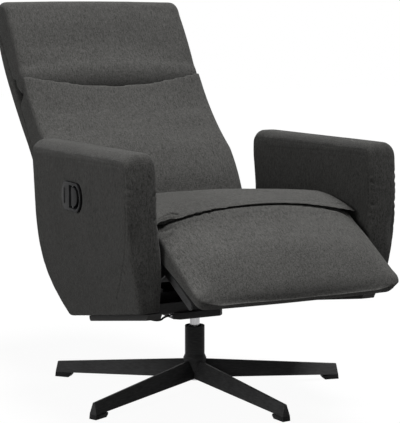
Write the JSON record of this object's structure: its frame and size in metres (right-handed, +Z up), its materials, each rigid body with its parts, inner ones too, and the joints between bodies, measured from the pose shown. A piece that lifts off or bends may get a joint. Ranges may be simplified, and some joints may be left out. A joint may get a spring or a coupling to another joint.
{
  "type": "star base swivel recliner",
  "caption": "Upholstered swivel recliner on a star base, part-reclined with a rolled legrest, separate tilting head cushion, padded arms and a side release latch.",
  "frame": {"origin": "on the floor under the middle of the whole bounding box in the stored part-reclined pose", "axes": "+X is the sitter's left, the front faces -Y, +Z is up; the swivel axis stands parallel to Z near the origin"},
  "size_m": [0.7154, 1.2001, 0.9407],
  "materials": {
    "upholstery": "matt charcoal woven upholstery cloth over foam",
    "black_frame": "satin black powder coat",
    "bright_steel": "bright turned steel",
    "fixings": "black oxide screws",
    "board": "plain plywood, painted black where it shows",
    "black_plastic": "moulded black, lightly textured",
    "cable_sleeve": "black cable sleeve",
    "webbing": "woven elastic webbing"
  },
  "bodies": {
    "base": {"base_hub": "black_frame", "column_tube": "black_frame", "upper_bush": "black_plastic", "lower_bush": "black_plastic", "thrust_bearing": "bright_steel", "star_arm_1": "black_frame", "star_arm_2": "black_frame", "star_arm_3": "black_frame", "star_arm_4": "black_frame", "star_arm_5": "black_frame", "foot_glide_1": "black_plastic", "foot_glide_2": "black_plastic", "foot_glide_3": "black_plastic", "foot_glide_4": "black_plastic", "foot_glide_5": "black_plastic"},
    "seat": {"seat_cushion": "upholstery", "arm_left": "upholstery", "arm_right": "upholstery", "swivel_plate": "black_frame", "cross_tube_front": "black_frame", "cross_tube_rear": "black_frame", "side_plate_left": "black_frame", "side_plate_right": "black_frame", "seat_frame": "black_frame", "catch_housing": "black_frame", "column_spindle": "bright_steel", "spindle_clip": "bright_steel", "latch_pin": "bright_steel", "cable_ferrules": "bright_steel", "plate_bolts": "fixings", "arm_bolts": "fixings", "arm_board_left": "board", "arm_board_right": "board", "arm_rail_left": "board", "arm_rail_right": "board", "latch_bezel": "black_plastic", "release_cable": "cable_sleeve", "seat_webbing": "webbing"},
    "legrest": {"legrest_cushion": "upholstery", "legrest_board": "board", "legrest_bracket_left": "black_frame", "legrest_bracket_right": "black_frame", "legrest_screws": "fixings"},
    "crank": {"torque_tube": "black_frame", "crank_left": "black_frame", "crank_right": "black_frame", "opening_spring": "bright_steel"},
    "rod_left": {"rod_left": "black_frame"},
    "rod_right": {"rod_right": "black_frame"},
    "back": {"back_frame": "board", "back_shell": "upholstery", "lumbar_cushion": "upholstery", "back_bracket_left": "black_frame", "back_bracket_right": "black_frame", "back_screws": "fixings", "headrest_rod": "black_frame"},
    "headrest": {"headrest_cushion": "upholstery", "headrest_board": "board"},
    "latch": {"latch_lever": "black_plastic"}
  },
  "joints": [
    {"name": "swivel", "type": "hinge", "parent": "base", "child": "seat", "pos_m": [-0.0091, -0.0828, 0.15], "axis": [0, 0, 1], "continuous": true},
    {"name": "legrest_lift", "type": "hinge", "parent": "seat", "child": "legrest", "pos_m": [-0.0091, -0.3668, 0.411], "axis": [-1, 0, 0], "range_deg": [-60, 8]},
    {"name": "crank_turn", "type": "hinge", "parent": "seat", "child": "crank", "pos_m": [-0.0091, -0.1728, 0.3], "axis": [-1, 0, 0], "range_deg": [-60, 8]},
    {"name": "rod_left_turn", "type": "hinge", "parent": "crank", "child": "rod_left", "pos_m": [-0.0091, -0.2028, 0.24804], "axis": [-1, 0, 0], "range_deg": [-8, 60]},
    {"name": "rod_right_turn", "type": "hinge", "parent": "crank", "child": "rod_right", "pos_m": [-0.0091, -0.2028, 0.24804], "axis": [-1, 0, 0], "range_deg": [-8, 60]},
    {"name": "back_recline", "type": "hinge", "parent": "seat", "child": "back", "pos_m": [-0.0091, 0.1572, 0.438], "axis": [-1, 0, 0], "range_deg": [-24, 8]},
    {"name": "headrest_tilt", "type": "hinge", "parent": "back", "child": "headrest", "pos_m": [-0.0091, 0.45101, 0.72156], "axis": [1, 0, 0], "range_deg": [0, 24]},
    {"name": "latch_pull", "type": "hinge", "parent": "seat", "child": "latch", "pos_m": [-0.3491, -0.1428, 0.497], "axis": [0, 0, -1], "range_deg": [0, 30], "stiffness_Nm_per_rad": 0.2, "springref_deg": -11.46}
  ],
  "couplings": [
    {"joint": "crank_turn", "follows": "legrest_lift", "ratio": 1},
    {"joint": "rod_left_turn", "follows": "legrest_lift", "ratio": -1},
    {"joint": "rod_right_turn", "follows": "legrest_lift", "ratio": -1}
  ]
}
